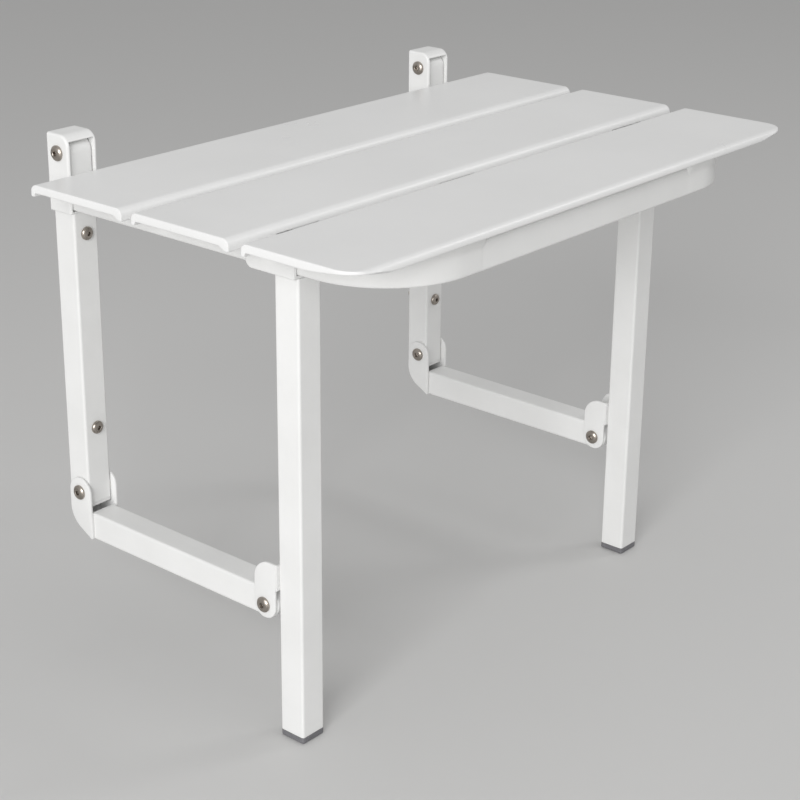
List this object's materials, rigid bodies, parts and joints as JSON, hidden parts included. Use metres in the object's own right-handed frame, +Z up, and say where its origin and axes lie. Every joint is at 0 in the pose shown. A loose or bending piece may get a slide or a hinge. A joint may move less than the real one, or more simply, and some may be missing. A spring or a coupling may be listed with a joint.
{
  "type": "fold down wall seat",
  "caption": "Slatted seat on a bent tube frame that folds up to a wall between two posts, with legs held upright by parallel links as it folds",
  "frame": {"origin": "middle of the four wall fixings, on the wall plane", "axes": "+Z up, +Y into the wall, so the room and the sitter are at -Y, +X across the seat to the right seen from the room"},
  "size_m": [0.7, 0.504, 0.559],
  "materials": {
    "white_powder_coat": "satin white powder coat on steel tube and plate",
    "white_seat_plastic": "satin moulded white plastic slats",
    "white_nylon": "nylon bearing washers",
    "white_cap_plastic": "moulded end caps",
    "grey_foot_plastic": "grey moulded feet",
    "stainless_steel": "stainless steel screws and pivot bolts"
  },
  "bodies": {
    "wall_frame": {"post_tube_left": "white_powder_coat", "post_cap_left": "white_cap_plastic", "hinge_housing_left": "white_powder_coat", "top_pivot_bolt_left": "stainless_steel", "top_pivot_nut_left": "stainless_steel", "wall_pivot_bolt_left": "stainless_steel", "wall_pivot_nut_left": "stainless_steel", "post_tube_right": "white_powder_coat", "post_cap_right": "white_cap_plastic", "hinge_housing_right": "white_powder_coat", "top_pivot_bolt_right": "stainless_steel", "top_pivot_nut_right": "stainless_steel", "wall_pivot_bolt_right": "stainless_steel", "wall_pivot_nut_right": "stainless_steel", "top_pivot_washers": "white_nylon", "wall_pivot_washers": "white_nylon", "wall_screws": "stainless_steel"},
    "seat": {"hinge_lug_left": "white_powder_coat", "seat_pivot_bolt_left": "stainless_steel", "seat_pivot_nut_left": "stainless_steel", "hinge_lug_right": "white_powder_coat", "seat_pivot_bolt_right": "stainless_steel", "seat_pivot_nut_right": "stainless_steel", "seat_frame": "white_powder_coat", "slat_back": "white_seat_plastic", "slat_middle": "white_seat_plastic", "slat_front": "white_seat_plastic", "slat_screws": "stainless_steel", "seat_pivot_washers": "white_nylon"},
    "left_leg": {"leg_tube_left": "white_powder_coat", "foot_left": "grey_foot_plastic", "leg_top_bracket_left": "white_powder_coat", "leg_link_bracket_left": "white_powder_coat", "link_pivot_bolt_left": "stainless_steel", "link_pivot_nut_left": "stainless_steel", "link_pivot_washers_left": "white_nylon"},
    "right_leg": {"leg_tube_right": "white_powder_coat", "foot_right": "grey_foot_plastic", "leg_top_bracket_right": "white_powder_coat", "leg_link_bracket_right": "white_powder_coat", "link_pivot_bolt_right": "stainless_steel", "link_pivot_nut_right": "stainless_steel", "link_pivot_washers_right": "white_nylon"},
    "left_link": {"link_tube_left": "white_powder_coat", "link_wall_bracket_left": "white_powder_coat"},
    "right_link": {"link_tube_right": "white_powder_coat", "link_wall_bracket_right": "white_powder_coat"}
  },
  "joints": [
    {"name": "seat_fold", "type": "hinge", "parent": "wall_frame", "child": "seat", "pos_m": [0, -0.015, 0.188], "axis": [-1, 0, 0], "range_deg": [0, 90]},
    {"name": "left_leg_swing", "type": "hinge", "parent": "seat", "child": "left_leg", "pos_m": [-0.275, -0.284, 0.152], "axis": [-1, 0, 0], "range_deg": [-90, 0]},
    {"name": "left_link_swing", "type": "hinge", "parent": "wall_frame", "child": "left_link", "pos_m": [-0.275, -0.02, -0.176], "axis": [-1, 0, 0], "range_deg": [0, 90]},
    {"name": "right_leg_swing", "type": "hinge", "parent": "seat", "child": "right_leg", "pos_m": [0.275, -0.284, 0.152], "axis": [-1, 0, 0], "range_deg": [-90, 0]},
    {"name": "right_link_swing", "type": "hinge", "parent": "wall_frame", "child": "right_link", "pos_m": [0.275, -0.02, -0.176], "axis": [-1, 0, 0], "range_deg": [0, 90]}
  ],
  "couplings": [
    {"joint": "left_leg_swing", "follows": "seat_fold", "ratio": -1},
    {"joint": "left_link_swing", "follows": "seat_fold", "ratio": 1},
    {"joint": "right_leg_swing", "follows": "seat_fold", "ratio": -1},
    {"joint": "right_link_swing", "follows": "seat_fold", "ratio": 1}
  ]
}
